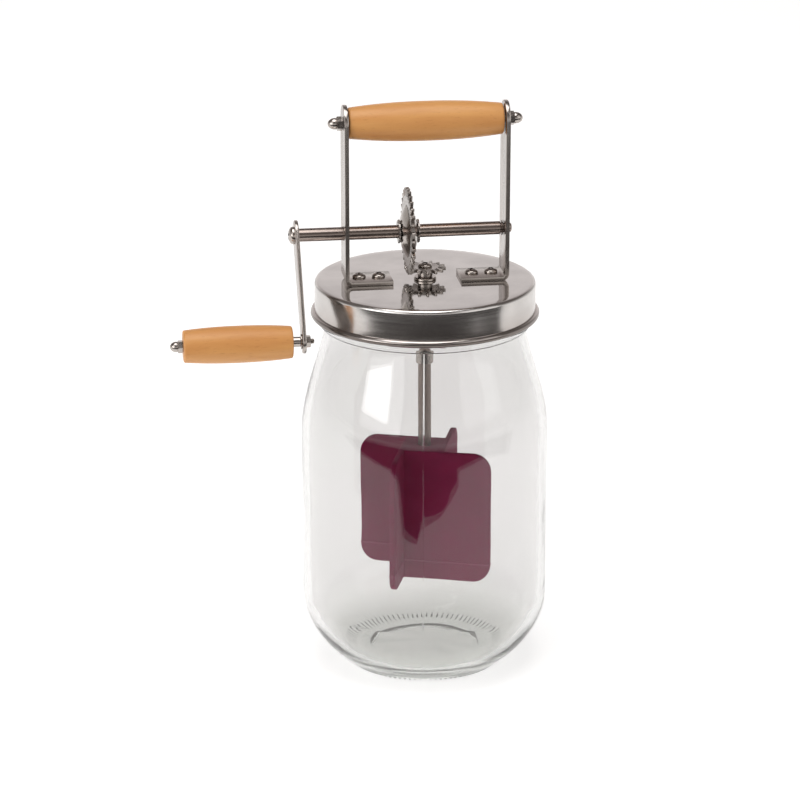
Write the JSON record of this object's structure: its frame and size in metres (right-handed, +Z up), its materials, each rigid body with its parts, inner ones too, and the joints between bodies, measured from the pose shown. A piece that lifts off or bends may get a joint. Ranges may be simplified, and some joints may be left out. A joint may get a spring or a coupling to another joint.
{
  "type": "butter churn",
  "caption": "Hand-cranked butter churn: glass jar with a steel screw lid that carries a geared crank, a carry handle and a bladed silicone dasher turning in the jar.",
  "frame": {"origin": "the jar's axis in the plane that the jar stands on", "axes": "+Z up the jar's axis; X along the crank shaft with the crank at -X; +Y away from the side that the crank handle hangs on"},
  "size_m": [0.1689, 0.1096, 0.2576],
  "materials": {
    "jar_glass": "clear moulded soda-lime glass, faintly green where it is thick",
    "lid_steel": "stainless sheet, near-mirror top, fine turned lines round the skirt",
    "plated_steel": "bright nickel-plated steel",
    "beech": "turned beech, thin satin lacquer",
    "paddle_silicone": "moulded burgundy silicone, satin matt",
    "seal_rubber": "moulded pale silicone"
  },
  "bodies": {
    "jar": {"glass_jar": "jar_glass"},
    "seal": {"lid_seal": "seal_rubber"},
    "lid": {"lid": "lid_steel", "right_bracket": "plated_steel", "left_bracket": "plated_steel", "left_outer_bracket_screw": "plated_steel", "left_outer_bracket_nut": "plated_steel", "left_inner_bracket_screw": "plated_steel", "left_inner_bracket_nut": "plated_steel", "right_outer_bracket_screw": "plated_steel", "right_outer_bracket_nut": "plated_steel", "right_inner_bracket_screw": "plated_steel", "right_inner_bracket_nut": "plated_steel", "carry_rod": "plated_steel", "left_carry_acorn_nut": "plated_steel", "right_carry_acorn_nut": "plated_steel", "bearing_sleeve": "plated_steel", "bearing_nut": "plated_steel"},
    "carry_grip": {"carry_grip": "beech"},
    "crank": {"crank_shaft": "plated_steel", "shaft_collar": "plated_steel", "drive_gear": "plated_steel", "left_gear_dish": "plated_steel", "left_star_washer": "plated_steel", "right_gear_dish": "plated_steel", "right_star_washer": "plated_steel", "crank_arm": "plated_steel", "crank_arm_screw": "plated_steel", "crank_stud": "plated_steel", "crank_grip_acorn_nut": "plated_steel", "crank_spacer": "plated_steel", "crank_washer": "plated_steel", "crank_hex_nut": "plated_steel"},
    "crank_grip": {"crank_grip": "beech"},
    "dasher": {"dasher_shaft": "plated_steel", "pinion_gear": "plated_steel", "pinion_screw": "plated_steel", "paddle": "paddle_silicone"}
  },
  "joints": [
    {"name": "lid_lift", "type": "slide", "parent": "jar", "child": "seal", "axis": [0, 0, 1], "range_m": [0, 0.15]},
    {"name": "lid_turn", "type": "hinge", "parent": "seal", "child": "lid", "pos_m": [0, 0, 0.178], "axis": [0, 0, 1], "range_deg": [0, 90]},
    {"name": "crank_turn", "type": "hinge", "parent": "lid", "child": "crank", "pos_m": [0, 0, 0.2], "axis": [1, 0, 0], "continuous": true},
    {"name": "dasher_spin", "type": "hinge", "parent": "lid", "child": "dasher", "pos_m": [0, 0, 0.14], "axis": [0, 0, 1], "continuous": true},
    {"name": "crank_grip_spin", "type": "hinge", "parent": "crank", "child": "crank_grip", "pos_m": [-0.085, -0.02684, 0.16021], "axis": [1, 0, 0], "continuous": true},
    {"name": "carry_grip_spin", "type": "hinge", "parent": "lid", "child": "carry_grip", "pos_m": [0, 0, 0.249], "axis": [1, 0, 0], "continuous": true}
  ],
  "couplings": [
    {"joint": "dasher_spin", "follows": "crank_turn", "ratio": -2.2857}
  ]
}
